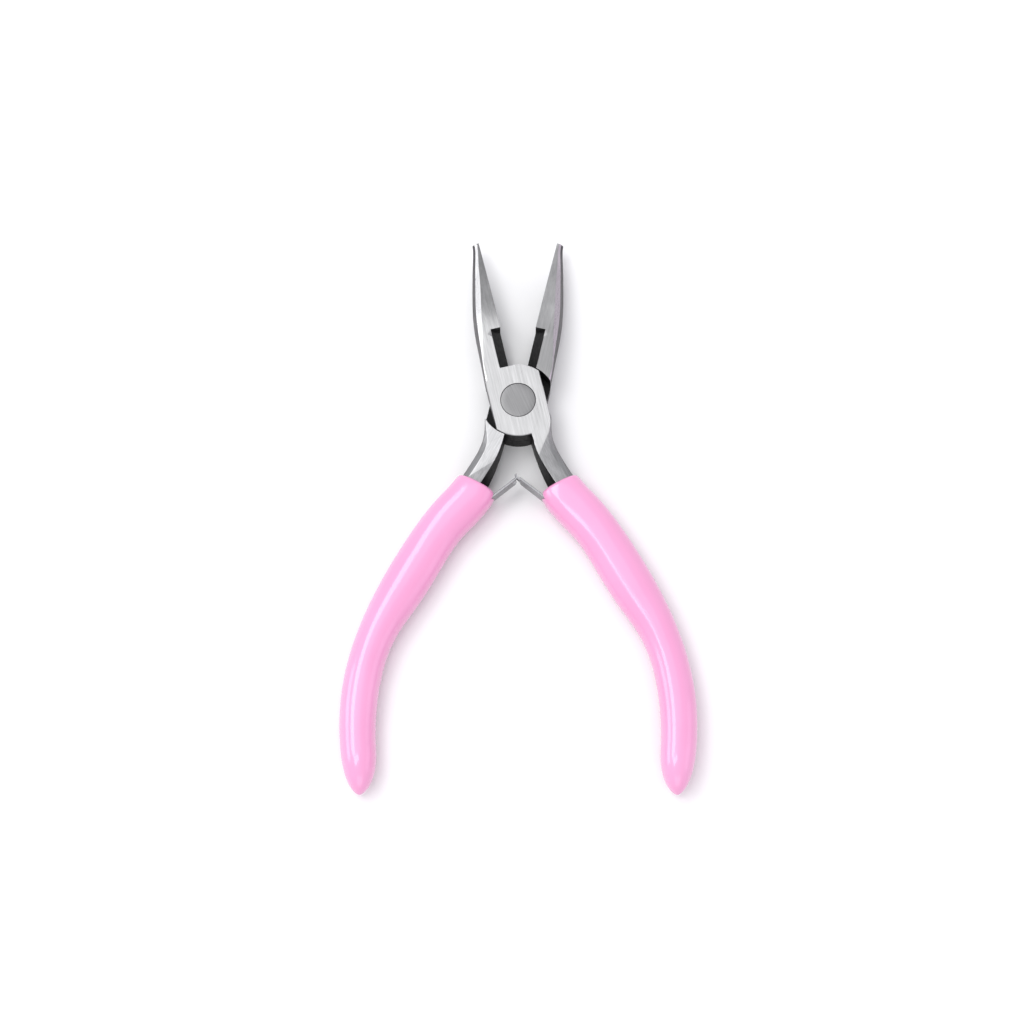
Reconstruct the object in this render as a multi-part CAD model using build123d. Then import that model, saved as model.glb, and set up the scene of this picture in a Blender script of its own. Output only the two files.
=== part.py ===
from build123d import *
import math
import os

# Mini long-nose pliers with side cutters, a flush riveted lap joint, two
# dipped PVC grips and a double leaf return spring.
# Frame: the pliers lie flat.  +Z is the pivot axis, +Y runs along the jaws,
# -Y along the handles.  The origin is on the pivot axis, on the plane that the
# joint and the grips rest on.  Millimetres.

# ---------------------------------------------------------------- dimensions
THICK = 10.0            # thickness of the joint, both laps together
MID = THICK / 2         # parting plane of the forgings and of the lap joint
REST_HALF = 13.0        # each half stands this many degrees off the closed position
SPLAY = 0.2             # the handle stations below turn outwards by this many degrees
JAW_LEN = 46.80         # pivot axis to jaw tip
FACE_GAP = 0.025        # each gripping face stops short of the centre plane by this
JAW_TIP_HALF = 1.4      # half thickness of the jaw at its tip
CUT_START, CUT_END = 9.7, 20.9      # side cutter notch along the jaw
CUT_DEPTH = 2.7         # width of the notch at the flat faces
LAP_R = 9.95            # round end of each lap
LAP_FLAT = 7.3          # flat sides of each lap, from the pivot axis
LAP_CLEAR = 0.02        # each lap face stands this far off the parting plane
SHOULDER_R = 10.1       # shoulder that surrounds the other half's lap
RIVET_R = 3.0           # rivet shank
HEAD_R = 4.65           # flush countersunk rivet head
HEAD_DEPTH = 2.1
BORE_CLEAR = 0.03       # running clearance of the shank in the front half
CONE_CLEAR = 0.06       # clearance round the head in the front half
GRIP_THICK = 10.0       # grips are as thick as the joint, so all three rest together
LEAF_T = 0.6            # spring leaf thickness
LEAF_W = 4.5            # spring leaf width
LEAF_GAP = 0.12         # clearance between a leaf and the sleeve round it
TONGUE_W = 1.7          # tongue on the right leaf
FORK_W = 2.2            # slot in the left leaf that the tongue passes through
FORK_LEN = 1.9          # length of that slot from the crossing
SRIV_R = 1.0            # spring rivet shank
SRIV_HEAD_R = 1.7
SRIV_HEAD_H = 0.7

# Everything of one half is drawn in its closed frame: the gripping face on
# x = 0, its jaw on the -X side and its handle on the +X side.

# Jaw stations: distance from the pivot, outer edge at the parting plane, half
# thickness, side draft, bevel width, bevel depth.
JAW = [
    (4.0, 7.30, 5.00, 0.06, 0.16, 0.16),
    (10.0, 7.20, 5.00, 0.22, 0.22, 0.20),
    (15.0, 7.03, 5.00, 0.50, 0.42, 0.36),
    (20.0, 6.88, 4.98, 0.78, 1.05, 0.75),
    (25.0, 6.45, 4.72, 0.86, 1.40, 0.95),
    (30.0, 5.60, 4.17, 0.88, 1.45, 1.00),
    (35.0, 4.50, 3.46, 0.86, 1.28, 0.95),
    (40.0, 3.30, 2.62, 0.76, 0.92, 0.80),
    (JAW_LEN, 1.80, JAW_TIP_HALF, 0.50, 0.50, 0.50),
]

# Ground facets of the handle: a point of the crease, the way the facet falls, and its slope.
UPPER_CREASE, UPPER_FALL, UPPER_SLOPE = (6.6, -9.6), (0.807, -0.590), 0.135
LOWER_CREASE, LOWER_FALL, LOWER_SLOPE = (1.45, -16.8), (-0.700, -0.714), 0.16
LOWER_TAPER, TAPER_START = 0.075, -13.0
TANG_MIN = 3.2                          # half thickness of the handle inside the grip

# Handle stations: inner and outer edge at the parting plane, draft of the inner
# side, draft of the outer side, bevel width, bevel depth.
TANG = [
    ((1.22, -5.0), (7.28, -5.0), 0.05, 0.06, 0.16, 0.16),
    ((1.22, -8.9), (7.12, -8.5), 0.08, 0.16, 0.25, 0.20),
    ((1.20, -12.2), (6.90, -11.4), 0.22, 0.52, 0.75, 0.55),
    ((1.25, -15.6), (7.35, -14.7), 0.50, 0.80, 1.25, 0.85),
    ((1.70, -19.8), (8.45, -18.4), 1.15, 0.88, 1.35, 0.95),
    ((2.55, -24.2), (9.90, -22.6), 1.85, 0.90, 1.30, 0.95),
    ((3.95, -29.1), (11.60, -26.6), 2.15, 0.90, 1.20, 0.90),
    ((5.95, -33.7), (12.95, -30.1), 1.85, 0.85, 1.10, 0.85),
    ((9.65, -42.0), (16.70, -39.0), 1.20, 0.80, 1.05, 0.85),
    ((12.25, -50.3), (19.70, -48.1), 0.80, 0.80, 1.05, 0.85),
    ((14.95, -59.1), (22.30, -57.0), 0.80, 0.80, 1.05, 0.85),
    ((17.95, -67.5), (24.25, -66.3), 0.70, 0.70, 0.95, 0.80),
    ((19.35, -76.1), (25.20, -76.0), 0.70, 0.70, 0.90, 0.80),
    ((19.05, -84.9), (24.90, -85.5), 0.70, 0.70, 0.90, 0.80),
    ((17.65, -93.6), (23.10, -94.95), 0.70, 0.70, 0.85, 0.80),
    ((16.95, -98.1), (21.40, -99.4), 0.60, 0.60, 0.70, 0.70),
]

# Grip stations: centre, direction of the centre line, width, thickness.
GRIP = [
    ((5.33, -23.93), (0.262, -0.965), 10.95, 9.4),
    ((5.84, -25.64), (0.33, -0.944), 11.58, 9.8),
    ((6.91, -28.14), (0.415, -0.910), 11.76, 10.0),
    ((9.22, -32.35), (0.455, -0.890), 11.85, 10.0),
    ((11.35, -36.40), (0.415, -0.910), 11.65, 10.0),
    ((13.10, -40.60), (0.355, -0.935), 11.65, 10.0),
    ((15.90, -49.23), (0.290, -0.957), 12.00, 10.0),
    ((18.63, -58.04), (0.305, -0.952), 11.50, 10.0),
    ((21.11, -66.89), (0.205, -0.979), 10.10, 10.0),
    ((22.27, -76.02), (0.045, -0.999), 9.55, 10.0),
    ((21.97, -85.20), (-0.105, -0.994), 9.62, 10.0),
    ((20.39, -94.26), (-0.235, -0.972), 9.44, 9.9),
    ((19.16, -98.72), (-0.285, -0.958), 8.95, 9.6),
    ((17.78, -103.00), (-0.30, -0.954), 8.55, 9.1),
    ((16.75, -106.60), (-0.27, -0.963), 6.95, 7.5),
    ((16.10, -109.30), (-0.23, -0.973), 4.55, 5.1),
    ((15.72, -111.15), (-0.20, -0.980), 1.50, 1.9),
]


def rot2(p, deg):
    a = math.radians(deg)
    return (p[0] * math.cos(a) - p[1] * math.sin(a), p[0] * math.sin(a) + p[1] * math.cos(a))


def unit(v):
    n = math.hypot(*v)
    return (v[0] / n, v[1] / n)


TANG = [(rot2(a, SPLAY), rot2(b, SPLAY), *rest) for a, b, *rest in TANG]
GRIP = [(rot2(c, SPLAY), rot2(d, SPLAY), *rest) for c, d, *rest in GRIP]


# ---------------------------------------------------------------- one half
def jaw_solid():
    faces = []
    for y, xo, t, d, b, bz in JAW:
        pts = [
            (-FACE_GAP, y, MID - t), (-FACE_GAP, y, MID + t),
            (-(xo - d - b), y, MID + t), (-(xo - d), y, MID + t - bz),
            (-xo, y, MID),
            (-(xo - d), y, MID - t + bz), (-(xo - d - b), y, MID - t),
        ]
        faces.append(Face(Wire.make_polygon([Vector(*p) for p in pts], close=True)))
    return Solid.make_loft([f.outer_wire() for f in faces], False)


def upper_half_thickness(x, y):
    # lap side: the flat face ends on a slanting line, and a ground facet falls away from it
    dist = (x - UPPER_CREASE[0]) * UPPER_FALL[0] + (y - UPPER_CREASE[1]) * UPPER_FALL[1]
    return max(TANG_MIN, min(MID, MID - UPPER_SLOPE * dist))


def lower_half_thickness(x, y):
    # other side: the flat thins slowly, and a second facet falls towards the inner side of the handle
    dist = (x - LOWER_CREASE[0]) * LOWER_FALL[0] + (y - LOWER_CREASE[1]) * LOWER_FALL[1]
    return max(TANG_MIN, MID - LOWER_TAPER * max(0.0, TAPER_START - y) - LOWER_SLOPE * max(0.0, dist))


def facet_tool(origin, level, slope, floor, up):
    """Everything beyond a ground plane, down to a floor level.

    The plane passes through origin at the given level and falls by slope (dx, dy) per mm.
    """
    k = math.hypot(*slope)
    u = (slope[0] / k, slope[1] / k)
    n = (-u[1], u[0])
    rows = [(0.0, level), ((level - floor) / k, floor), (160.0, floor), (160.0, level + 30), (-60.0, level + 30),
            (-60.0, level + 60 * k)]
    pts = [Vector(origin[0] + u[0] * s - n[0] * 90, origin[1] + u[1] * s - n[1] * 90,
                  MID + h if up else MID - h) for s, h in rows]
    return Solid.extrude(Face(Wire.make_polygon(pts, close=True)), Vector(n[0] * 180, n[1] * 180, 0))


def tang_solid():
    wires = []
    for (ix, iy), (ox, oy), di, d, b, bz in TANG:
        w = math.hypot(ox - ix, oy - iy)
        u = ((ox - ix) / w, (oy - iy) / w)

        def at(s):
            return (ix + u[0] * s, iy + u[1] * s)

        # the sloping sides are carried up to full height, so that the ground facets cut them
        si, so = di, w - d - b
        up, down = [(0.0, 0.0)], []
        for fall, out in ((upper_half_thickness, up), (lower_half_thickness, down)):
            hi, ho = fall(*at(si)), fall(*at(so))
            out.append((si * MID / hi, MID))
            out.append((so - (b / bz) * (MID - ho), MID))
            out.append((so + b, ho - bz))
        down = [(s, -t) for s, t in reversed(down)]
        pts = [Vector(*at(s), MID + z) for s, z in up + [(w, 0.0)] + down]
        wires.append(Wire.make_polygon(pts, close=True))
    tang = Solid.make_loft(wires, False)
    tang = tang - facet_tool(UPPER_CREASE, MID, [UPPER_SLOPE * c for c in UPPER_FALL], TANG_MIN, True)
    tang = tang - facet_tool((0, TAPER_START), MID, (0, -LOWER_TAPER), TANG_MIN, False)
    level = MID - LOWER_TAPER * (TAPER_START - LOWER_CREASE[1])
    slope = (LOWER_SLOPE * LOWER_FALL[0], LOWER_SLOPE * LOWER_FALL[1] - LOWER_TAPER)
    return tang - facet_tool(LOWER_CREASE, level, slope, TANG_MIN, False)


def cyl(r, z0, z1, x=0.0, y=0.0):
    return Pos(x, y, (z0 + z1) / 2) * Cylinder(r, z1 - z0)


def box(x0, x1, y0, y1, z0, z1):
    return Pos((x0 + x1) / 2, (y0 + y1) / 2, (z0 + z1) / 2) * Box(x1 - x0, y1 - y0, z1 - z0)


def half_blank():
    """Left jaw, upper lap, right handle, in the closed frame."""
    lap = cyl(LAP_R, MID + LAP_CLEAR, THICK) & box(-LAP_FLAT, LAP_FLAT, -20, 20, 0, THICK)
    lap = chamfer(lap.edges().filter_by(lambda e: abs(e.center().Z - THICK) < 1e-6 and
                                        abs(e.bounding_box().size.Z) < 1e-6), 0.18)
    body = jaw_solid().fuse(tang_solid()).fuse(lap)
    body = body & box(-40, 60, -150, 60, 0, THICK)
    # room for the other half's lap
    body = body - cyl(SHOULDER_R, -1, MID + LAP_CLEAR)
    # side cutter notch: both flanks fall to a knife edge on the parting plane
    flank = Face(Wire.make_polygon([
        Vector(1, CUT_START, MID), Vector(-FACE_GAP, CUT_START, MID),
        Vector(-CUT_DEPTH, CUT_START, THICK), Vector(-CUT_DEPTH, CUT_START, THICK + 2),
        Vector(1, CUT_START, THICK + 2)], close=True))
    upper = Solid.extrude(flank, Vector(0, CUT_END - CUT_START, 0))
    lower = upper.mirror(Plane.XY.offset(MID))
    body = body - upper - lower
    return body


# Cut that eases the end of a leaf: distance from the crossing, height towards the underside.
LEAF_EASE = [(-0.60, -0.45), (-0.05, -0.36), (0.27, -0.15), (0.52, 0.0), (0.78, 0.15), (1.14, 0.30), (1.30, 0.36),
             (1.30, 0.70), (-0.60, 0.70)]

# Lines that the spring leaf and its rivet follow, in the closed frame.
LEAF_ANGLE = 51.2                       # free leaf off the -Y direction, at rest
APEX_REST = (0.0, -20.35)               # where the two leaves meet, at rest
HINGE_FROM_APEX = 10.9                  # free length up to where the leaf bends
_s, _c = math.sin(math.radians(LEAF_ANGLE)), math.cos(math.radians(LEAF_ANGLE))
HINGE_REST = (APEX_REST[0] + HINGE_FROM_APEX * _s, APEX_REST[1] - HINGE_FROM_APEX * _c)
HINGE = rot2(HINGE_REST, -REST_HALF)
APEX = rot2(APEX_REST, -REST_HALF)
LEAF_ROOT = [(5.0, -33.0), (8.25, -40.2)]     # along the inner side of the handle
SRIV_AT = (7.1, -37.6)                  # point of the leaf where its rivet sits
SRIV_DIR = unit((0.911, 0.412))         # from the leaf into the handle


def ribbon(points, t, w, z=MID, radius=None):
    """A strip of thickness t across the plan and width w along Z."""
    pts = [Vector(p[0], p[1], 0) for p in points]
    if radius:
        line = FilletPolyline(*pts, radius=radius)
    else:
        line = Polyline(*pts)
    wire = Wire(line.edges())
    left = wire.offset_2d(t / 2, side=Side.LEFT, closed=False)
    right = wire.offset_2d(t / 2, side=Side.RIGHT, closed=False)
    a0, a1 = left.position_at(0), left.position_at(1)
    b0, b1 = right.position_at(0), right.position_at(1)
    if (a0 - b0).length > (a0 - b1).length:
        b0, b1 = b1, b0
    outline = Wire([*left.edges(), Edge.make_line(a0, b0), *right.edges(), Edge.make_line(a1, b1)])
    face = Face(outline)
    return Pos(0, 0, z - w / 2) * Solid.extrude(face, Vector(0, 0, w))


def leaf_line():
    return [APEX, HINGE, *LEAF_ROOT]


def leaf_solid(kind):
    """The right leaf in the closed frame of its half."""
    d = unit((HINGE[0] - APEX[0], HINGE[1] - APEX[1]))     # from the apex into the grip
    tip = (APEX[0] + d[0] * 0.42, APEX[1] + d[1] * 0.42)
    leaf = ribbon([tip, HINGE, *LEAF_ROOT], LEAF_T, LEAF_W, radius=6.0)
    # the end is cut on the centre plane between the two leaves
    n = rot2((1, 0), -REST_HALF)
    leaf = leaf & (Pos(APEX[0] + n[0] * 10.06, APEX[1] + n[1] * 10.06, MID)
                   * Rot(0, 0, -REST_HALF) * Box(20, 60, 30))
    # the underside of the end is eased, so that the leaves stay clear of each other when closed
    ease = [Vector(APEX[0] + d[0] * t + d[1] * h, APEX[1] + d[1] * t - d[0] * h, 0)
            for t, h in LEAF_EASE]
    leaf = leaf - Solid.extrude(Face(Wire.make_polygon(ease, close=True)), Vector(0, 0, THICK))
    if kind == "tongue":
        a = (APEX[0] + d[0] * 1.2, APEX[1] + d[1] * 1.2)
        b = (APEX[0] - d[0] * 0.55, APEX[1] - d[1] * 0.55)
        up = rot2((-0.25, 0.97), -REST_HALF)
        c = (b[0] + up[0] * 0.9, b[1] + up[1] * 0.9)
        leaf = leaf + ribbon([a, b, c], LEAF_T * 0.8, TONGUE_W, radius=0.45)
    else:
        slot = ribbon([(APEX[0] - d[0] * 2, APEX[1] - d[1] * 2),
                       (APEX[0] + d[0] * FORK_LEN, APEX[1] + d[1] * FORK_LEN)], LEAF_T * 4, FORK_W)
        leaf = leaf - slot
    hole = cyl_between(SRIV_AT, SRIV_DIR, -2, 2, SRIV_R + 0.05)
    return leaf - hole


def cyl_between(at, direction, s0, s1, r):
    start = (at[0] + direction[0] * s0, at[1] + direction[1] * s0)
    plane = Plane(origin=(start[0], start[1], MID), z_dir=(direction[0], direction[1], 0))
    return Solid.make_cylinder(r, s1 - s0, plane)


def spring_rivet_solid():
    # head on the leaf, shank through it into a blind hole of the handle
    off = LEAF_T / 2 + 0.04
    plane = Plane(origin=(SRIV_AT[0] - SRIV_DIR[0] * off, SRIV_AT[1] - SRIV_DIR[1] * off, MID),
                  x_dir=(0, 0, 1), z_dir=(-SRIV_DIR[0], -SRIV_DIR[1], 0))
    prof = Face(Wire.make_polygon([
        Vector(0, 0, 0), Vector(SRIV_HEAD_R, 0, 0), Vector(SRIV_HEAD_R, 0, SRIV_HEAD_H * 0.45),
        Vector(SRIV_HEAD_R * 0.72, 0, SRIV_HEAD_H * 0.88), Vector(0, 0, SRIV_HEAD_H)], close=True))
    head = Solid.revolve(prof, 360, Axis.Z).moved(plane.location)
    shank = cyl_between(SRIV_AT, SRIV_DIR, -off, 3.6, SRIV_R)
    return head + shank


def grip_outer():
    wires = []
    for (cx, cy), d, w, h in GRIP:
        d = unit(d)
        plane = Plane(origin=(cx, cy, MID), x_dir=(-d[1], d[0], 0), z_dir=(d[0], d[1], 0))
        r = min(w, h) * 0.40
        face = plane * RectangleRounded(w, h, r)
        wires.append(face.wire())
    return Solid.make_loft(wires, False)


def grip_solid(tang):
    body = grip_outer() - tang
    # room for the leaf, its swing towards the handle and its rivet head
    clear = LEAF_T + 2 * LEAF_GAP
    d = unit((APEX[0] - HINGE[0], APEX[1] - HINGE[1]))
    far = (HINGE[0] + d[0] * 8, HINGE[1] + d[1] * 8)
    pocket = ribbon([far, HINGE, *LEAF_ROOT, (8.62, -41.02)], clear, LEAF_W + 2 * LEAF_GAP, radius=6.0)
    swing = Face(Wire.make_polygon([
        Vector(HINGE[0], HINGE[1], 0), Vector(far[0], far[1], 0),
        Vector(1.6, -20.0, 0), Vector(4.2, -21.0, 0), Vector(5.2, -28.6, 0), Vector(5.6, -31.0, 0)], close=True))
    swing = Pos(0, 0, MID - LEAF_W / 2 - LEAF_GAP) * Solid.extrude(swing, Vector(0, 0, LEAF_W + 2 * LEAF_GAP))
    head = cyl_between(SRIV_AT, SRIV_DIR, -(LEAF_T / 2 + SRIV_HEAD_H + 0.12), 1.0, SRIV_HEAD_R + 0.1)
    shank = cyl_between(SRIV_AT, SRIV_DIR, 0, 3.7, SRIV_R + 0.05)
    return body - pocket - swing - head - shank


def solid_of(shape):
    got = shape.solids()
    if len(got) != 1:
        print("solids", len(got), [round(s.volume, 3) for s in got])
    return max(got, key=lambda s: s.volume)


def countersunk(r, head_r, depth, z_face, up, extend=0.0):
    """Cone from shank radius r up to the head at the face z_face."""
    s = 1 if up else -1
    pts = [Vector(0, 0, z_face - s * depth), Vector(r, 0, z_face - s * depth),
           Vector(head_r, 0, z_face), Vector(head_r, 0, z_face + s * extend), Vector(0, 0, z_face + s * extend)]
    if extend == 0:
        pts = [pts[0], pts[1], pts[2], pts[4]]
    return Solid.revolve(Face(Wire.make_polygon(pts, close=True)), 360, Axis.Z)


def flip(shape):
    """The other half's place: turned half round about the Y axis of the parting plane."""
    return shape.rotate(Axis((0, 0, MID), (0, 1, 0)), 180)


def front_place(shape):
    return shape.rotate(Axis.Z, REST_HALF)


def back_place(shape):
    return flip(shape).rotate(Axis.Z, -REST_HALF)


tang = tang_solid()
blank = half_blank()
blind = cyl_between(SRIV_AT, SRIV_DIR, 0, 3.75, SRIV_R + 0.0)

# front half: the rivet runs in it
front = blank - cyl(RIVET_R + BORE_CLEAR, -1, THICK + 1) \
    - countersunk(RIVET_R + BORE_CLEAR, HEAD_R + CONE_CLEAR, HEAD_DEPTH, THICK, True, 1.0) - blind
# back half: the rivet is set fast in it
back = blank - cyl(RIVET_R, -1, THICK + 1) \
    - countersunk(RIVET_R, HEAD_R, HEAD_DEPTH, THICK, True, 1.0) - blind

rivet = cyl(RIVET_R, HEAD_DEPTH / 2, THICK - HEAD_DEPTH / 2)
rivet = rivet.fuse(countersunk(RIVET_R, HEAD_R, HEAD_DEPTH, THICK, True),
                   countersunk(RIVET_R, HEAD_R, HEAD_DEPTH, 0.0, False))

grip = grip_solid(tang)
right_leaf = leaf_solid("tongue")
left_leaf = leaf_solid("fork")
spring_rivet = spring_rivet_solid()

parts = {
    "front_half": front_place(solid_of(front)),
    "back_half": back_place(solid_of(back)),
    "pivot_rivet": solid_of(rivet),
    "right_grip": front_place(solid_of(grip)),
    "left_grip": back_place(solid_of(grip)),
    "right_spring_leaf": front_place(solid_of(right_leaf)),
    "left_spring_leaf": back_place(solid_of(left_leaf)),
    "right_spring_rivet": front_place(solid_of(spring_rivet)),
    "left_spring_rivet": back_place(solid_of(spring_rivet)),
}

os.makedirs("parts", exist_ok=True)
for name, shape in parts.items():
    shape.label = name
    export_step(shape, "parts/" + name + ".step")
    bb = shape.bounding_box()
    print(name, "volume", round(shape.volume, 1), "min", [round(v, 2) for v in bb.min], "max", [round(v, 2) for v in bb.max])
print("leaf hinge at rest, right", [round(v, 3) for v in HINGE_REST])
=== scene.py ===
import math
import bmesh
import bpy
import numpy as np
from mathutils import Matrix, Vector
from mathutils.bvhtree import BVHTree


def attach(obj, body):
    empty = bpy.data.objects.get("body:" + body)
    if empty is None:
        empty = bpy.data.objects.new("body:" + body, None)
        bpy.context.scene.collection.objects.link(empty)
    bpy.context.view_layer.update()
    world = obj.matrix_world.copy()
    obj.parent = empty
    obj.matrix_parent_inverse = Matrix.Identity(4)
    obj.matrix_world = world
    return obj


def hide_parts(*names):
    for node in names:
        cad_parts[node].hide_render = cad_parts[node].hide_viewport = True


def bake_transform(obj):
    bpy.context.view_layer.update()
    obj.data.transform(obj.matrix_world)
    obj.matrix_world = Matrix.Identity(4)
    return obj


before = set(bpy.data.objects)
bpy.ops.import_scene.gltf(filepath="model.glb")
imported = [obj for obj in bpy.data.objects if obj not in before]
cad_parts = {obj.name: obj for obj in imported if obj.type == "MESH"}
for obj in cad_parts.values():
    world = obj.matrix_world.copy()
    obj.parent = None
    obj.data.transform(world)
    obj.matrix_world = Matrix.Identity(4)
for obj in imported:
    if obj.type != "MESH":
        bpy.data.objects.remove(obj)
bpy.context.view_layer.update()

# ------------------------------------------------------------------ dimensions
# Millimetres, in the closed frame of one half: gripping face on x = 0, jaw on
# the -X side, handle on the +X side.  The same figures as the CAD model.
MID = 5.0
REST_HALF = 13.0
SPLAY = 0.2

GRIP = [
    ((5.33, -23.93), (0.262, -0.965), 10.95, 9.4),
    ((5.84, -25.64), (0.33, -0.944), 11.58, 9.8),
    ((6.91, -28.14), (0.415, -0.910), 11.76, 10.0),
    ((9.22, -32.35), (0.455, -0.890), 11.85, 10.0),
    ((11.35, -36.40), (0.415, -0.910), 11.65, 10.0),
    ((13.10, -40.60), (0.355, -0.935), 11.65, 10.0),
    ((15.90, -49.23), (0.290, -0.957), 12.00, 10.0),
    ((18.63, -58.04), (0.305, -0.952), 11.50, 10.0),
    ((21.11, -66.89), (0.205, -0.979), 10.10, 10.0),
    ((22.27, -76.02), (0.045, -0.999), 9.55, 10.0),
    ((21.97, -85.20), (-0.105, -0.994), 9.62, 10.0),
    ((20.39, -94.26), (-0.235, -0.972), 9.44, 10.0),
    ((19.16, -98.72), (-0.285, -0.958), 9.30, 10.0),
    ((17.78, -103.00), (-0.30, -0.954), 9.20, 10.0),
    ((16.75, -106.60), (-0.27, -0.963), 9.20, 10.0),
    ((15.72, -111.15), (-0.20, -0.980), 9.20, 10.0),
]
LEAF_T, LEAF_W, TONGUE_W, FORK_W, FORK_LEN = 0.6, 4.5, 1.7, 2.2, 1.9
APEX_REST = (0.0, -20.35)
LEAF_ANGLE = 51.2
FREE_LEN = 10.9
LEAF_ROOT = [(5.0, -33.0), (8.25, -40.2)]
LEAF_GAP = 0.12
LEAF_EASE = [(-0.60, -0.45), (-0.05, -0.36), (0.27, -0.15), (0.52, 0.0), (0.78, 0.15), (1.14, 0.30), (1.30, 0.36),
             (1.30, 0.70), (-0.60, 0.70)]
SRIV_AT, SRIV_DIR, SRIV_HEAD_R, SRIV_HEAD_H = (7.1, -37.6), (0.911, 0.412), 1.7, 0.7
LAP_R, LAP_FLAT, SHOULDER_R = 9.95, 7.3, 10.1
CUT_START, CUT_END, CUT_DEPTH = 9.7, 20.9, 2.7
RIVET_R, HEAD_R, HEAD_DEPTH = 3.0, 4.65, 2.1


def rot2(p, deg):
    a = math.radians(deg)
    return (p[0] * math.cos(a) - p[1] * math.sin(a), p[0] * math.sin(a) + p[1] * math.cos(a))


def unit(v):
    n = math.hypot(*v)
    return (v[0] / n, v[1] / n)


_s, _c = math.sin(math.radians(LEAF_ANGLE)), math.cos(math.radians(LEAF_ANGLE))
HINGE_REST = (APEX_REST[0] + FREE_LEN * _s, APEX_REST[1] - FREE_LEN * _c)
HINGE = rot2(HINGE_REST, -REST_HALF)
APEX = rot2(APEX_REST, -REST_HALF)


def right_place(co):
    """closed frame of the front half, mm -> rest, metres"""
    co = np.asarray(co, float)
    a = math.radians(REST_HALF)
    x = co[:, 0] * math.cos(a) - co[:, 1] * math.sin(a)
    y = co[:, 0] * math.sin(a) + co[:, 1] * math.cos(a)
    return np.stack([x, y, co[:, 2]], 1) / 1000.0


def left_place(co):
    co = np.asarray(co, float).copy()
    co[:, 0] *= -1
    co[:, 2] = 2 * MID - co[:, 2]
    a = math.radians(-REST_HALF)
    x = co[:, 0] * math.cos(a) - co[:, 1] * math.sin(a)
    y = co[:, 0] * math.sin(a) + co[:, 1] * math.cos(a)
    return np.stack([x, y, co[:, 2]], 1) / 1000.0


def closed_frame(p, side):
    """Rest position in metres -> closed frame in mm, of the right (front) or left (back) half."""
    x, y, z = p[0] * 1000, p[1] * 1000, p[2] * 1000
    if side == "right":
        x, y = rot2((x, y), -REST_HALF)
        return x, y, z
    x, y = rot2((x, y), REST_HALF)
    return -x, y, 2 * MID - z


def new_object(name, verts, faces, smooth=True):
    me = bpy.data.meshes.new(name)
    me.from_pydata([tuple(map(float, v)) for v in verts], [], [tuple(int(i) for i in f) for f in faces])
    me.validate()
    me.update()
    ob = bpy.data.objects.new(name, me)
    bpy.context.scene.collection.objects.link(ob)
    bm = bmesh.new()
    bm.from_mesh(me)
    bmesh.ops.recalc_face_normals(bm, faces=bm.faces)
    bm.to_mesh(me)
    bm.free()
    if smooth:
        me.shade_smooth()
    return ob


def apply_modifiers(ob):
    dg = bpy.context.evaluated_depsgraph_get()
    dg.update()
    me = bpy.data.meshes.new_from_object(ob.evaluated_get(dg))
    old = ob.data
    ob.modifiers.clear()
    ob.data = me
    bpy.data.meshes.remove(old)
    return ob


def boolean(ob, other, operation="DIFFERENCE", remove=True):
    m = ob.modifiers.new("b", "BOOLEAN")
    m.operation = operation
    m.object = other
    m.solver = "EXACT"
    apply_modifiers(ob)
    if remove:
        bpy.data.objects.remove(other)
    return ob


def spline(t, y):
    """Natural cubic spline through (t, y), returned as a function."""
    t, y = np.asarray(t, float), np.asarray(y, float)
    n = len(t)
    h = np.diff(t)
    A = np.zeros((n, n))
    r = np.zeros(n)
    A[0, 0] = A[-1, -1] = 1
    for i in range(1, n - 1):
        A[i, i - 1], A[i, i], A[i, i + 1] = h[i - 1], 2 * (h[i - 1] + h[i]), h[i]
        r[i] = 3 * ((y[i + 1] - y[i]) / h[i] - (y[i] - y[i - 1]) / h[i - 1])
    c = np.linalg.solve(A, r)
    b = (y[1:] - y[:-1]) / h - h * (2 * c[:-1] + c[1:]) / 3
    d = (c[1:] - c[:-1]) / (3 * h)

    def f(x):
        x = np.asarray(x, float)
        i = np.clip(np.searchsorted(t, x) - 1, 0, n - 2)
        u = x - t[i]
        return y[i] + b[i] * u + c[i] * u * u + d[i] * u ** 3

    return f


# ------------------------------------------------------------------ camera
def make_camera():
    cam = bpy.data.cameras.new("camera")
    ob = bpy.data.objects.new("camera", cam)
    bpy.context.scene.collection.objects.link(ob)
    cam.sensor_width = 36.0
    cam.lens = 100.657
    cam.clip_start = 0.01
    cam.clip_end = 20
    tilt = math.radians(16.0)
    aim = Vector((-0.002126, -0.028841, 0.005))
    ob.location = aim + Vector((0, -math.sin(tilt), math.cos(tilt))) * 0.75
    ob.rotation_euler = (tilt, 0, 0)
    bpy.context.scene.camera = ob


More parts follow.
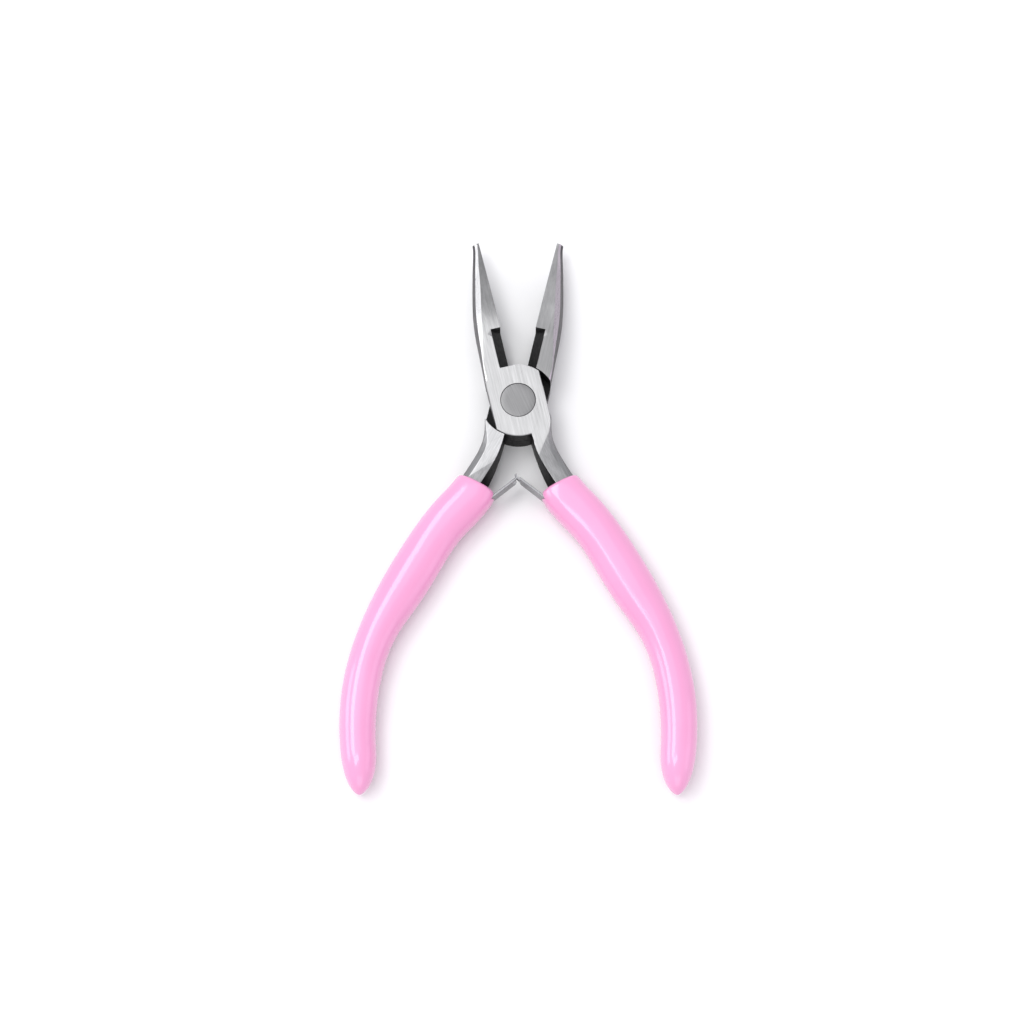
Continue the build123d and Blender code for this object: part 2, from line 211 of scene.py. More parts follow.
# ------------------------------------------------------------------ materials
class Nodes:
    """Small helper for building a node tree."""

    def __init__(self, name):
        self.mat = bpy.data.materials.new(name)
        self.mat.use_nodes = True
        self.t = self.mat.node_tree
        self.t.nodes.clear()
        self.out = self.add("ShaderNodeOutputMaterial")
        self.bsdf = self.add("ShaderNodeBsdfPrincipled")
        self.link(self.bsdf.outputs["BSDF"], self.out.inputs["Surface"])

    def add(self, kind, **props):
        n = self.t.nodes.new(kind)
        for k, v in props.items():
            setattr(n, k, v)
        return n

    def link(self, a, b):
        self.t.links.new(a, b)

    def coords(self, turn=0.0, scale=(1, 1, 1)):
        """Object coordinates in a frame turned about Z, then scaled."""
        tc = self.add("ShaderNodeTexCoord")
        mp = self.add("ShaderNodeMapping", vector_type="TEXTURE")
        mp.inputs["Rotation"].default_value = (0, 0, math.radians(turn))
        mp.inputs["Scale"].default_value = tuple(1 / v for v in scale)
        self.link(tc.outputs["Object"], mp.inputs["Vector"])
        return mp.outputs["Vector"]

    def axis(self, vec, k):
        n = self.add("ShaderNodeSeparateXYZ")
        self.link(vec, n.inputs[0])
        return n.outputs[k]

    def noise(self, vec, scale, detail=3.0, rough=0.5, distortion=0.0):
        n = self.add("ShaderNodeTexNoise")
        n.inputs["Scale"].default_value = scale
        n.inputs["Detail"].default_value = detail
        n.inputs["Roughness"].default_value = rough
        n.inputs["Distortion"].default_value = distortion
        self.link(vec, n.inputs["Vector"])
        return n.outputs["Fac"]

    def map(self, value, a, b, c, d, clamp=True):
        n = self.add("ShaderNodeMapRange")
        n.clamp = clamp
        for k, v in zip(("From Min", "From Max", "To Min", "To Max"), (a, b, c, d)):
            n.inputs[k].default_value = v
        self.link(value, n.inputs["Value"])
        return n.outputs["Result"]

    def math(self, op, a, b=None):
        n = self.add("ShaderNodeMath", operation=op)
        for i, v in enumerate((a, b)):
            if v is None:
                continue
            if isinstance(v, (int, float)):
                n.inputs[i].default_value = v
            else:
                self.link(v, n.inputs[i])
        return n.outputs[0]

    def mix(self, fac, a, b):
        n = self.add("ShaderNodeMix", data_type="RGBA")
        for key, v in (("Factor", fac), ("A", a), ("B", b)):
            sock = [s for s in n.inputs if s.name == key and s.type == ("VALUE" if key == "Factor" else "RGBA")][0]
            if isinstance(v, (int, float)):
                sock.default_value = v
            elif isinstance(v, tuple):
                sock.default_value = (*v, 1.0)
            else:
                self.link(v, sock)
        return [s for s in n.outputs if s.type == "RGBA"][0]

    def bump(self, height, strength, distance):
        n = self.add("ShaderNodeBump")
        n.inputs["Strength"].default_value = strength
        n.inputs["Distance"].default_value = distance
        self.link(height, n.inputs["Height"])
        self.link(n.outputs["Normal"], self.bsdf.inputs["Normal"])
        return n


def scaled(c, k):
    return tuple(min(1.0, v * k) for v in c)


def ground_steel(name, base, turn, rough=0.30, painted_slope_tone=None, depth=1.0, scratch=0.14):
    """Steel ground on a belt: grain along one direction, hand-blended blotches, a few scratches.
    The fade argument (base, y0, y1): painted light and shade, the tone that the sloping top of the jaw changes to
    between y0 and y1 along the jaw, in mm, as the slope turns to or from the lamps."""
    m = Nodes(name)
    fine = m.noise(m.coords(turn, (1.0, 0.022, 1.0)), 7000, 3, 0.6)
    coarse = m.noise(m.coords(turn, (1.0, 0.030, 1.0)), 2100, 4, 0.6)
    wide = m.noise(m.coords(turn, (1.0, 0.10, 1.0)), 480, 3, 0.5)
    blotch = m.noise(m.coords(turn, (1, 0.6, 1)), 170, 3, 0.5)
    lines = m.noise(m.coords(turn + 21, (1.0, 0.012, 1.0)), 3000, 1, 0.4)
    lines2 = m.noise(m.coords(turn - 34, (1.0, 0.016, 1.0)), 2400, 1, 0.4)
    streak = m.math("ADD", m.math("MULTIPLY", fine, 0.42), m.math("MULTIPLY", coarse, 0.58))
    col_a, col_b = scaled(base, 1.0 - 0.20 * depth), scaled(base, 1.0 + 0.12 * depth)
    f = m.map(streak, 0.34, 0.66, 0.0, 1.0)
    col = m.mix(f, col_a, col_b)
    # painted light and shade along the jaw: the tone blends to another one where the top slopes away
    if painted_slope_tone:
        other, y0, y1 = painted_slope_tone
        y = m.axis(m.coords(turn), 1)
        n = m.add("ShaderNodeMapRange", interpolation_type="SMOOTHSTEP")
        for k, v in zip(("From Min", "From Max", "To Min", "To Max"), (y0 / 1000, y1 / 1000, 0, 1)):
            n.inputs[k].default_value = v
        m.link(y, n.inputs["Value"])
        col = m.mix(n.outputs["Result"], col, m.mix(f, scaled(other, 1.0 - 0.20 * depth), scaled(other, 1.0 + 0.12 * depth)))
    col = m.mix(m.map(blotch, 0.38, 0.75, 0.0, 0.20), col, scaled(base, 0.70))
    col = m.mix(m.map(wide, 0.50, 0.80, 0.0, 0.30), col, scaled(base, 0.78))
    marks = m.math("MAXIMUM", m.map(lines, 0.70, 0.74, 0.0, 1.0), m.map(lines2, 0.72, 0.75, 0.0, 1.0))
    col = m.mix(m.math("MULTIPLY", marks, scratch), col, scaled(base, 0.35))
    m.link(col, m.bsdf.inputs["Base Color"])
    m.bsdf.inputs["Metallic"].default_value = 1.0
    r = m.math("ADD", m.map(streak, 0.3, 0.7, rough - 0.06, rough + 0.07), m.map(blotch, 0.3, 0.8, 0.0, 0.06))
    m.link(r, m.bsdf.inputs["Roughness"])
    m.bump(m.math("SUBTRACT", streak, m.math("MULTIPLY", marks, 0.5)), 0.28, 0.00002)
    return m.mat


def forged_steel(name, base, turn):
    """The blacked and lightly polished sides: darker, uneven, with a fine pitted texture."""
    m = Nodes(name)
    v = m.coords(turn, (1, 0.25, 1))
    n1 = m.noise(v, 1500, 4, 0.6)
    n2 = m.noise(m.coords(turn, (1, 0.4, 1)), 260, 3, 0.55)
    pits = m.noise(m.coords(turn), 2600, 2, 0.5)
    col = m.mix(m.map(n2, 0.35, 0.70, 0, 1), scaled(base, 0.78), scaled(base, 1.18))
    col = m.mix(m.map(n1, 0.45, 0.75, 0, 0.35), col, scaled(base, 0.5))
    m.link(col, m.bsdf.inputs["Base Color"])
    m.bsdf.inputs["Metallic"].default_value = 1.0
    m.link(m.math("ADD", m.map(n1, 0.3, 0.7, 0.34, 0.46), m.map(pits, 0.4, 0.8, 0, 0.08)), m.bsdf.inputs["Roughness"])
    m.bump(m.math("ADD", n1, m.math("MULTIPLY", pits, 0.4)), 0.30, 0.00003)
    return m.mat


def black_finish(name):
    """Black oxide left in the joint, in the cutter notches and on the inner sides of the shanks."""
    m = Nodes(name)
    n1 = m.noise(m.coords(0, (1, 1, 1)), 1100, 4, 0.6)
    n2 = m.noise(m.coords(12, (1, 0.25, 0.6)), 420, 3, 0.5)
    rub = m.noise(m.coords(-9, (1, 0.12, 0.5)), 900, 3, 0.55)
    col = m.mix(m.map(n2, 0.35, 0.7, 0, 1), (0.005, 0.005, 0.0053), (0.012, 0.0118, 0.012))
    col = m.mix(m.map(rub, 0.60, 0.72, 0, 0.30), col, (0.05, 0.048, 0.048))
    m.link(col, m.bsdf.inputs["Base Color"])
    m.bsdf.inputs["Metallic"].default_value = 0.0
    m.bsdf.inputs["Specular IOR Level"].default_value = 0.12
    m.link(m.map(n1, 0.3, 0.7, 0.36, 0.56), m.bsdf.inputs["Roughness"])
    m.bump(n1, 0.35, 0.00004)
    return m.mat


def pvc(name):
    """Dipped glossy PVC: even colour, very slight flow waves and orange peel under a clear skin."""
    m = Nodes(name)
    soft = m.noise(m.coords(), 55, 2, 0.45)
    flow = m.noise(m.coords(0, (1, 0.35, 1)), 150, 2, 0.5)
    peel = m.noise(m.coords(), 900, 2, 0.5)
    col = m.mix(m.map(soft, 0.35, 0.7, 0, 1), (0.690, 0.275, 0.485), (0.715, 0.298, 0.515))
    col = m.mix(m.map(flow, 0.45, 0.75, 0, 0.25), col, (0.71, 0.26, 0.47))
    m.link(col, m.bsdf.inputs["Base Color"])
    m.bsdf.inputs["Metallic"].default_value = 0.0
    m.link(m.map(peel, 0.3, 0.7, 0.235, 0.265), m.bsdf.inputs["Roughness"])
    m.bsdf.inputs["IOR"].default_value = 1.53
    m.bsdf.inputs["Coat Weight"].default_value = 0.62
    m.bsdf.inputs["Coat IOR"].default_value = 1.5
    m.bsdf.inputs["Coat Roughness"].default_value = 0.09
    m.bump(flow, 0.10, 0.0002)
    return m.mat


def floor_material():
    m = Nodes("floor_paper")
    n = m.noise(m.coords(0, (1, 1, 1)), 40, 3, 0.5)
    m.link(m.mix(m.map(n, 0.3, 0.7, 0, 1), (0.785, 0.785, 0.787), (0.80, 0.80, 0.802)), m.bsdf.inputs["Base Color"])
    m.link(m.map(n, 0.3, 0.7, 0.65, 0.75), m.bsdf.inputs["Roughness"])
    m.bsdf.inputs["Specular IOR Level"].default_value = 0.15
    return m.mat


# ------------------------------------------------------------------ grips
def grip_mesh(n_len=240, n_round=96):
    c = [rot2(g[0], SPLAY) for g in GRIP]
    d = [unit(rot2(g[1], SPLAY)) for g in GRIP]
    t = np.concatenate([[0], np.cumsum([math.dist(a, b) for a, b in zip(c[:-1], c[1:])])])
    fx, fy = spline(t, [p[0] for p in c]), spline(t, [p[1] for p in c])
    fdx, fdy = spline(t, [p[0] for p in d]), spline(t, [p[1] for p in d])
    fw, fh = spline(t, [g[2] for g in GRIP]), spline(t, [g[3] for g in GRIP])
    total = t[-1]
    # rings: the rounded lip of the mouth, the body, the nose
    lip = 0.85
    path = [(lip * (1 - math.sin(a)), lip * (1 - math.cos(a)), 1.0, 1.0)
            for a in np.linspace(math.pi / 2, 0, 9)]
    path += [(s, 0.0, 1.0, 1.0) for s in np.linspace(0.9, total - 12, n_len)]
    s_nose = total - 12 + 12 * np.sin(np.linspace(0, math.pi / 2, 44))[1:-1]
    for s in s_nose:
        dl = max(0.0, total - s)
        g = (1 - (1 - min(dl / 12.0, 1)) ** 2.2) ** 0.62
        gh = (1 - (1 - min(dl / 10.5, 1)) ** 2.1) ** 0.60
        path.append((s, 0.0, g, gh))
    ang = np.linspace(0, 2 * math.pi, n_round, endpoint=False)
    verts, faces = [], []
    for s, ins, g, gh in path:
        s = float(s)
        cx, cy = float(fx(s)), float(fy(s))
        dx, dy = unit((float(fdx(s)), float(fdy(s))))
        ux, uy = -dy, dx
        w = float(fw(s)) * g / 2 - ins
        h = float(fh(s)) * gh / 2 - ins
        p = 2.45 - 0.30 * min(max((s - 9.0) / 14.0, 0.0), 1.0)
        cs, sn = np.cos(ang), np.sin(ang)
        a = np.sign(cs) * np.abs(cs) ** (2 / p) * w
        b = np.sign(sn) * np.abs(sn) ** (2 / p) * h
        for i in range(n_round):
            verts.append((cx + ux * a[i], cy + uy * a[i], MID + b[i]))
    nr = len(path)
    for r in range(nr - 1):
        for i in range(n_round):
            j = (i + 1) % n_round
            faces.append((r * n_round + i, r * n_round + j, (r + 1) * n_round + j, (r + 1) * n_round + i))
    # mouth face and the closed nose
    faces.append(tuple(reversed(range(n_round))))
    tip = (float(fx(total)), float(fy(total)), MID)
    verts.append(tip)
    k = len(verts) - 1
    for i in range(n_round):
        faces.append(((nr - 1) * n_round + i, (nr - 1) * n_round + (i + 1) % n_round, k))
    return np.array(verts), faces


def round_corner(points, radius, steps=10):
    """Polyline with each inner corner replaced by a tangent arc."""
    out = [np.array(points[0], float)]
    for a, b, c in zip(points[:-2], points[1:-1], points[2:]):
        a, b, c = (np.array(p, float) for p in (a, b, c))
        u, v = (a - b) / np.linalg.norm(a - b), (c - b) / np.linalg.norm(c - b)
        half = math.acos(max(-1, min(1, float(u @ v)))) / 2
        t = radius / math.tan(half)
        p0, p1 = b + u * t, b + v * t
        bis = (u + v) / np.linalg.norm(u + v)
        o = b + bis * radius / math.sin(half)
        a0, a1 = math.atan2(*(p0 - o)[::-1]), math.atan2(*(p1 - o)[::-1])
        da = (a1 - a0 + math.pi) % (2 * math.pi) - math.pi
        for k in range(steps + 1):
            an = a0 + da * k / steps
            out.append(o + radius * np.array([math.cos(an), math.sin(an)]))
    out.append(np.array(points[-1], float))
    return np.array(out)


def resample(line, step):
    seg = np.linalg.norm(np.diff(line, axis=0), axis=1)
    t = np.concatenate([[0], np.cumsum(seg)])
    n = max(2, int(round(t[-1] / step)) + 1)
    q = np.linspace(0, t[-1], n)
    return np.stack([np.interp(q, t, line[:, 0]), np.interp(q, t, line[:, 1])], 1)


def strip_mesh(line, thick, z0, z1, edge=0.08):
    """Flat strip along a plan line, with small chamfers on its long edges."""
    n = len(line)
    d = np.gradient(line, axis=0)
    d /= np.linalg.norm(d, axis=1)[:, None]
    nrm = np.stack([-d[:, 1], d[:, 0]], 1)
    prof = [(-thick / 2, z0 + edge), (-thick / 2, z1 - edge), (-thick / 2 + edge, z1), (thick / 2 - edge, z1),
            (thick / 2, z1 - edge), (thick / 2, z0 + edge), (thick / 2 - edge, z0), (-thick / 2 + edge, z0)]
    verts, faces = [], []
    for i in range(n):
        for a, z in prof:
            verts.append((line[i, 0] + nrm[i, 0] * a, line[i, 1] + nrm[i, 1] * a, z))
    k = len(prof)
    for i in range(n - 1):
        for j in range(k):
            faces.append((i * k + j, i * k + (j + 1) % k, (i + 1) * k + (j + 1) % k, (i + 1) * k + j))
    faces.append(tuple(range(k)))
    faces.append(tuple(reversed(range((n - 1) * k, n * k))))
    return np.array(verts), faces


def outline_of(line, thick):
    """Closed outline of a line thickened to both sides."""
    d = np.gradient(line, axis=0)
    d /= np.linalg.norm(d, axis=1)[:, None]
    nrm = np.stack([-d[:, 1], d[:, 0]], 1)
    return np.concatenate([line + nrm * thick / 2, (line - nrm * thick / 2)[::-1]])


def prism(outline, z0, z1):
    n = len(outline)
    verts = [(x, y, z0) for x, y in outline] + [(x, y, z1) for x, y in outline]
    faces = [tuple(reversed(range(n))), tuple(range(n, 2 * n))]
    faces += [(i, (i + 1) % n, n + (i + 1) % n, n + i) for i in range(n)]
    return np.array(verts, float), faces


def round_bar(at, d, s0, s1, r, n=48):
    """Cylinder across the plan, from at + d*s0 to at + d*s1, at mid height."""
    d = unit(d)
    u = (-d[1], d[0])
    verts, faces = [], []
    for s in (s0, s1):
        for k in range(n):
            a = 2 * math.pi * k / n
            verts.append((at[0] + d[0] * s + u[0] * r * math.cos(a), at[1] + d[1] * s + u[1] * r * math.cos(a),
                          MID + r * math.sin(a)))
    faces = [tuple(range(n)), tuple(reversed(range(n, 2 * n)))]
    faces += [(i, n + i, n + (i + 1) % n, (i + 1) % n) for i in range(n)]
    return np.array(verts), faces


def lathe(profile, n=160):
    """Solid of revolution about Z; the profile runs from the axis to the axis."""
    inner = profile[1:-1]
    verts = [(0, 0, profile[0][1])]
    for r, z in inner:
        verts += [(r * math.cos(2 * math.pi * k / n), r * math.sin(2 * math.pi * k / n), z) for k in range(n)]
    verts.append((0, 0, profile[-1][1]))
    last = len(verts) - 1
    faces = [(0, 1 + (k + 1) % n, 1 + k) for k in range(n)]
    for j in range(len(inner) - 1):
        a, b = 1 + j * n, 1 + (j + 1) * n
        faces += [(a + k, a + (k + 1) % n, b + (k + 1) % n, b + k) for k in range(n)]
    a = 1 + (len(inner) - 1) * n
    faces += [(a + k, a + (k + 1) % n, last) for k in range(n)]
    return np.array(verts, float), faces


def move_to_rest(ob, place):
    me = ob.data
    co = np.zeros(len(me.vertices) * 3)
    me.vertices.foreach_get("co", co)
    me.vertices.foreach_set("co", place(co.reshape(-1, 3)).astype(np.float32).ravel())
    me.update()
    bm = bmesh.new()
    bm.from_mesh(me)
    if sum(f.calc_area() * f.normal.dot(f.calc_center_median()) for f in bm.faces) < 0:
        bmesh.ops.reverse_faces(bm, faces=bm.faces)
    bm.to_mesh(me)
    bm.free()


def weighted_normals(ob):
    m = ob.modifiers.new("wn", "WEIGHTED_NORMAL")
    m.mode = "FACE_AREA"
    m.weight = 50
    m.keep_sharp = True
    apply_modifiers(ob)


def closed_copy(node, side, name):
    """A welded copy of a CAD node's mesh in the closed frame, in mm."""
    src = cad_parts[node].data
    bm = bmesh.new()
    bm.from_mesh(src)
    bmesh.ops.remove_doubles(bm, verts=bm.verts, dist=2e-6)
    for v in bm.verts:
        v.co = closed_frame(v.co, side)
    bmesh.ops.recalc_face_normals(bm, faces=bm.faces)
    me = bpy.data.meshes.new(name)
    bm.to_mesh(me)
    bm.free()
    ob = bpy.data.objects.new(name, me)
    bpy.context.scene.collection.objects.link(ob)
    return ob


# Face classes of a half. BLACK and SIDE are real finishes; FACE, GRAY, BEVEL, FACET and SHANK are one ground steel in
# tones that paint light and shade by the way a face looks.
FACE, GRAY, BEVEL, FACET, SIDE, BLACK, SHANK = range(7)


def finish_and_painted_light_of(c, n):
    """Which class a face of a half gets, from its centre and normal in the closed frame: a real finish, or a tone of
    ground steel with painted light and shade.
    """
    x, y, z = c
    r = math.hypot(x, y)
    flat = abs(n.z)
    if r < HEAD_R + 0.3 and flat < 0.98:
        return BLACK
    if abs(z - MID) < 0.1 and n.z < -0.9:
        return BLACK
    if flat < 0.35 and z < MID + 0.1 and abs(r - SHOULDER_R) < 0.10:
        return BLACK
    if flat < 0.35 and z > MID and r < 10.4 and (abs(r - LAP_R) < 0.08 or (x > 0 and abs(x - LAP_FLAT) < 0.05)):
        return BLACK
    if CUT_START - 0.02 < y < CUT_END + 0.02 and -CUT_DEPTH - 0.02 < x < 0.05 and (abs(n.y) > 0.9 or n.x > 0.5):
        return BLACK
    if y < -8.0 and n.x < -0.45 and flat < 0.7:
        return BLACK
    if flat < (0.6 if y > 4 else 0.5):
        return GRAY if n.x > 0.9 and abs(x) < 0.1 else SIDE
    # bevels: painted highlight on the jaw, painted shade (FACET) or the painted lit tone (FACE) further down
    if flat < 0.93:
        return BEVEL if y > 4 else (FACET if y < -5 else FACE)
    # tilted facets of the handle: painted shade
    if y < -5 and n.z > 0 and flat < 0.9995:
        return FACET
    # shank faces on the other side: the flat in the painted lit tone (SHANK), the tilted facets in painted shade
    if y < -6 and n.z < 0:
        return FACET if flat < 0.992 else SHANK
    # flats: painted lit tone on the lap side (FACE), painted shaded tone on the other side (GRAY)
    return FACE if n.z > 0 else GRAY


def worn_edges(bm, banned):
    """Long, clean convex edges: chains of sharp edges well clear of corners and of narrow faces."""
    def sharp(e):
        return e.is_manifold and abs(e.calc_face_angle_signed(0)) > math.radians(18)

    picked = []
    for e in bm.edges:
        if not e.is_manifold or not e.is_convex or e.calc_face_angle(0) < math.radians(27):
            continue
        mid = (e.verts[0].co + e.verts[1].co) / 2
        if math.hypot(mid.x, mid.y) < HEAD_R + 0.3 or any((mid - q).length < r for q, r in banned):
            continue
        good = True
        for v in e.verts:
            joined = [k for k in v.link_edges if k is not e]
            nexts = [k for k in joined if sharp(k)]
            if len(nexts) > 1:
                good = False
            for k in joined:
                if k in nexts:
                    u, w = e.other_vert(v).co - v.co, k.other_vert(v).co - v.co
                    if u.angle(w, 0) < math.radians(140) or not k.is_convex:
                        good = False
                elif k.calc_length() < 3 * EDGE:
                    good = False
        if good:
            picked.append(e)
    # chains shorter than a couple of millimetres are left sharp
    left, keep = set(picked), []
    while left:
        chain, stack = [], [left.pop()]
        while stack:
            e = stack.pop()
            chain.append(e)
            for v in e.verts:
                for k in v.link_edges:
                    if k in left:
                        left.discard(k)
                        stack.append(k)
        if sum(e.calc_length() for e in chain) > 2.0:
            keep += chain
    return sorted(keep, key=lambda e: e.index)


def tangled(bm, before):
    """Places where faces cross each other or look the wrong way compared with the sharp shape."""
    bm.normal_update()
    bm.faces.ensure_lookup_table()
    bad = []
    for f in bm.faces:
        if f.calc_area() > 2.0:
            continue
        c = f.calc_center_median()
        hit = before.find_nearest(c)
        if hit[0] is None or hit[3] > 0.5 * EDGE + 0.02:
            bad.append(c)
        elif f.normal.dot(hit[1]) < 0.2 and f.calc_area() > 1e-6:
            bad.append(c)
    tree = BVHTree.FromBMesh(bm)
    for i, j in tree.overlap(tree):
        if i < j and not set(bm.faces[i].verts) & set(bm.faces[j].verts):
            bad.append(bm.faces[i].calc_center_median())
    return bad


def half_piece(node, side, name, mats):
    ob = closed_copy(node, side, name)
    plain = bmesh.new()
    plain.from_mesh(ob.data)
    plain.normal_update()
    for f in plain.faces:
        f.material_index = finish_and_painted_light_of(f.calc_center_median(), f.normal)
    bmesh.ops.dissolve_limit(plain, angle_limit=math.radians(0.3), verts=plain.verts, edges=plain.edges,
                             delimit={"MATERIAL"})
    plain.normal_update()
    before = BVHTree.FromBMesh(plain)
    known = tangled(plain, before)
    banned = []
    for turn in range(8):
        bm = plain.copy()
        bm.normal_update()
        bm.edges.index_update()
        edges = worn_edges(bm, banned)
        bmesh.ops.bevel(bm, geom=edges, offset=EDGE, offset_type="OFFSET", segments=2, profile=0.5,
                        affect="EDGES", clamp_overlap=False, material=-1)
        bmesh.ops.remove_doubles(bm, verts=bm.verts, dist=1e-4)
        bad = [c for c in tangled(bm, before) if all((c - k).length > 0.15 for k in known)]
        print(name, "bevelled", len(edges), "edges, tangled", len(bad))
        if not bad:
            break
        banned += [(c.copy(), 0.8 + 0.4 * turn) for c in bad]
        bm.free()
    else:
        bm = plain.copy()
    plain.free()
    bm.to_mesh(ob.data)
    bm.free()
    for m in mats:
        ob.data.materials.append(m)
    return ob


EDGE = 0.10

# ------------------------------------------------------------------ build
make_camera()

mat_black = black_finish("black_oxide")
mat_rivet = ground_steel("rivet_steel_ground", (0.225, 0.225, 0.227), 24, 0.36, depth=0.9, scratch=0.5)
mat_spring = ground_steel("spring_steel_strip", (0.31, 0.31, 0.32), 0, 0.26)
mat_pvc = pvc("grip_pvc_gloss")


def set_material(ob, *mats):
    ob.data.materials.clear()
    for m in mats:
        ob.data.materials.append(m)


def clear_slots(ob, mat):
    if not ob.material_slots:
        ob.data.materials.append(mat)
    for s in ob.material_slots:
        s.material = mat


for n in ("left_spring_rivet", "right_spring_rivet"):
    clear_slots(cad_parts[n], mat_rivet)

SIDES = (("right", "front_half", "front_lever", right_place, REST_HALF),
         ("left", "back_half", "back_lever", left_place, -REST_HALF))

# the two forged halves
for side, node, body, place, turn in SIDES:
    tag = "_" + side
    lean = 15 if side == "right" else -15
    # One slot per face class. The ground-steel slots are one finish in lit and shaded copies: their tones paint light
    # and shade by the way a face looks, and the jaw's tone changes along its slope as painted light and shade.
    mats = [
        ground_steel("ground_face" + tag, (0.44, 0.44, 0.442), turn, 0.30, ((0.22, 0.22, 0.222), 19.5, 30.0), depth=1.4),
        ground_steel("steel_flat_painted_shade" + tag, (0.25, 0.25, 0.252), turn, 0.33, ((0.375, 0.375, 0.378), 19.5, 27.5)),
        # bevel: a painted highlight on the front half, a darker painted mauve reflection on the back half
        ground_steel("steel_bevel_painted_reflection" + tag, (0.84, 0.84, 0.845) if side == "right" else (0.46, 0.42, 0.46), turn, 0.27, depth=0.6),
        ground_steel("ground_facet" + tag, (0.30, 0.30, 0.305), turn + lean, 0.31, depth=1.5),
        forged_steel("forged_side" + tag, (0.090, 0.086, 0.091), turn),
        mat_black,
        ground_steel("steel_shank_painted_lit" + tag, (0.44, 0.44, 0.445), turn + lean, 0.31, depth=1.5),
    ]
    ob = half_piece(node, side, node + "_forging", mats)
    move_to_rest(ob, place)
    ob.data.shade_smooth()
    ob.data.set_sharp_from_angle(angle=math.radians(22))
    weighted_normals(ob)
    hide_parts(node)
    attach(ob, body)

# the rivet: flush heads with a softened rim
rim = [(4.40, 0.0), (4.49, 0.015), (4.54, 0.06), (4.545, 0.10), (4.524, 0.16), (RIVET_R, HEAD_DEPTH)]
prof = [(0, 0.0)] + [(1.5, 0.0), (3.0, 0.0)] + rim + [(r, 10 - z) for r, z in reversed(rim)] + [(3.0, 10.0), (1.5, 10.0), (0, 10.0)]
v, f = lathe(prof)
ob = new_object("pivot_rivet_turned", v / 1000.0, f)
ob.data.set_sharp_from_angle(angle=math.radians(30))
set_material(ob, mat_rivet)
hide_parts("pivot_rivet")
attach(ob, "back_lever")

# the two sleeves, hollow where the shank, the leaf and its rivet sit
gv, gf = grip_mesh()
leaf_dir = unit((APEX[0] - HINGE[0], APEX[1] - HINGE[1]))
far = (HINGE[0] + leaf_dir[0] * 8, HINGE[1] + leaf_dir[1] * 8)
for side, node, body, place, turn in SIDES:
    ob = new_object(side + "_grip_sleeve", gv, gf)
    boolean(ob, closed_copy(node, side, "tool"))
    line = resample(round_corner([far, HINGE, *LEAF_ROOT, (8.62, -41.02)], 6.0), 0.4)
    boolean(ob, new_object("tool", *prism(outline_of(line, LEAF_T + 2 * LEAF_GAP), MID - LEAF_W / 2 - LEAF_GAP,
                                          MID + LEAF_W / 2 + LEAF_GAP)))
    swing = [HINGE, far, (1.6, -20.0), (4.2, -21.0), (5.2, -28.6), (5.6, -31.0)]
    boolean(ob, new_object("tool", *prism(np.array(swing), MID - LEAF_W / 2 - LEAF_GAP, MID + LEAF_W / 2 + LEAF_GAP)))
    boolean(ob, new_object("tool", *round_bar(SRIV_AT, SRIV_DIR, -(LEAF_T / 2 + SRIV_HEAD_H + 0.12), 1.0,
                                              SRIV_HEAD_R + 0.1)))
    move_to_rest(ob, place)
    ob.data.shade_smooth()
    ob.data.set_sharp_from_angle(angle=math.radians(50))
    set_material(ob, mat_pvc)
    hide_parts(side + "_grip")
    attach(ob, body)

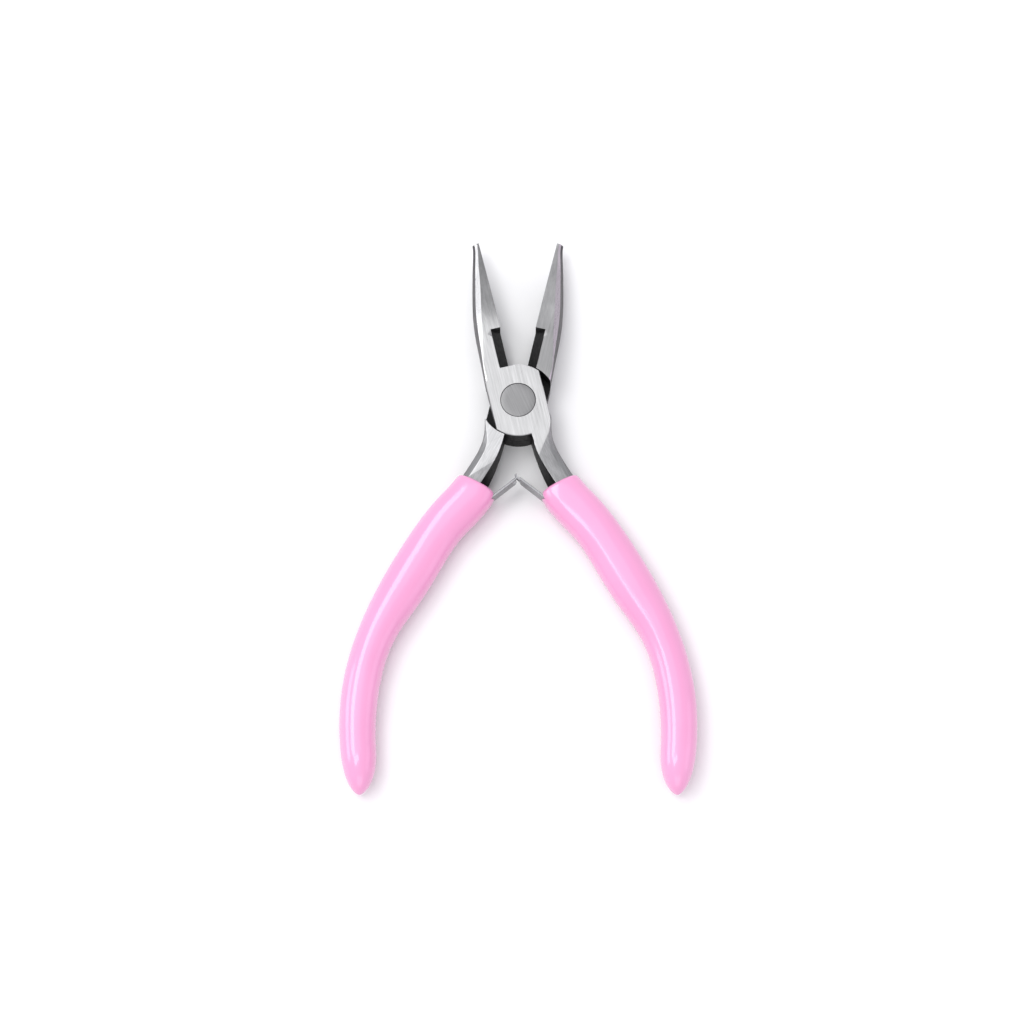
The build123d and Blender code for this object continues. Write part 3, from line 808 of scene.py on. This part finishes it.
# the two spring leaves
d = unit((HINGE[0] - APEX[0], HINGE[1] - APEX[1]))
tip = (APEX[0] + d[0] * 0.42, APEX[1] + d[1] * 0.42)
for side, node, body, place, turn in SIDES:
    line = resample(round_corner([tip, HINGE, *LEAF_ROOT], 6.0), 0.3)
    ob = new_object(side + "_leaf_strip", *strip_mesh(line, LEAF_T, MID - LEAF_W / 2, MID + LEAF_W / 2))
    # the underside of the end is eased, so that the leaves stay clear of each other when closed
    ease = [(APEX[0] + d[0] * t + d[1] * h, APEX[1] + d[1] * t - d[0] * h)
            for t, h in LEAF_EASE]
    boolean(ob, new_object("tool", *prism(np.array(ease), 0, 10)))
    if side == "right":
        a = (APEX[0] + d[0] * 1.2, APEX[1] + d[1] * 1.2)
        b = (APEX[0] - d[0] * 0.55, APEX[1] - d[1] * 0.55)
        up = rot2((-0.25, 0.97), -REST_HALF)
        c = (b[0] + up[0] * 0.9, b[1] + up[1] * 0.9)
        t = new_object("tool", *strip_mesh(resample(round_corner([a, b, c], 0.45), 0.08), LEAF_T * 0.8,
                                           MID - TONGUE_W / 2, MID + TONGUE_W / 2, 0.06))
        boolean(ob, t, "UNION")
    else:
        p0 = (APEX[0] - d[0] * 2, APEX[1] - d[1] * 2)
        p1 = (APEX[0] + d[0] * FORK_LEN, APEX[1] + d[1] * FORK_LEN)
        t = new_object("tool", *prism(outline_of(np.array([p0, p1]), LEAF_T * 4), MID - FORK_W / 2, MID + FORK_W / 2))
        boolean(ob, t)
    boolean(ob, new_object("tool", *round_bar(SRIV_AT, SRIV_DIR, -2, 2, 1.05)))
    move_to_rest(ob, place)
    ob.data.shade_smooth()
    ob.data.set_sharp_from_angle(angle=math.radians(25))
    set_material(ob, mat_spring)
    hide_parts(side + "_spring_leaf")
    h = np.array([[HINGE[0] + d[0] * k, HINGE[1] + d[1] * k, MID] for k in (2.4, -2.4)])
    h = place(h)
    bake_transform(ob)

# ------------------------------------------------------------------ stage
bpy.ops.mesh.primitive_plane_add(size=3.0, location=(0, 0, -0.00006))
floor = bpy.context.object
floor.name = "floor"
floor.data.materials.append(floor_material())


def area(name, direction, distance, size, radiance, colour=(1, 1, 1), along=None):
    """Softbox seen from the object in a direction; size = (along, across) in metres, radiance as seen."""
    li = bpy.data.lights.new(name, "AREA")
    li.shape = "RECTANGLE"
    li.size, li.size_y = size
    li.energy = radiance * math.pi * size[0] * size[1]
    li.color = colour
    ob = bpy.data.objects.new(name, li)
    bpy.context.scene.collection.objects.link(ob)
    z = Vector(direction).normalized()
    x = Vector(along) if along else Vector((1, 0, 0))
    x = (x - z * x.dot(z)).normalized()
    y = z.cross(x)
    ob.matrix_world = Matrix.Translation(Vector((0, -0.03, 0)) + z * distance) @ Matrix((x, y, z)).transposed().to_4x4()
    return ob


area("key", (-0.42, 0.26, 0.87), 0.80, (0.52, 0.28), 4.3, along=(-0.45, -0.89, 0.05))
area("strip_low", (-0.25, -0.12, 0.96), 0.80, (0.38, 0.17), 4.6, along=(0.89, 0.45, 0.0))
area("overhead", (0.0, 0.30, 0.95), 0.85, (0.40, 0.30), 0.8)
area("side_left", (-0.89, 0.10, 0.42), 0.82, (0.40, 0.34), 2.6, along=(0, 1, 0))
area("fill_right", (0.90, -0.08, 0.42), 0.76, (0.44, 0.40), 0.8, (0.92, 0.70, 0.95), along=(0, 1, 0))
area("fill_front", (0.05, -0.78, 0.62), 0.85, (0.60, 0.40), 1.0)

world = bpy.data.worlds.new("studio")
bpy.context.scene.world = world
world.use_nodes = True
world.node_tree.nodes["Background"].inputs["Color"].default_value = (0.97, 0.97, 1.0, 1)
world.node_tree.nodes["Background"].inputs["Strength"].default_value = 0.98

vs = bpy.context.scene.view_settings
vs.view_transform = "Standard"
vs.look = "None"
vs.exposure = 0.0
vs.gamma = 1.0
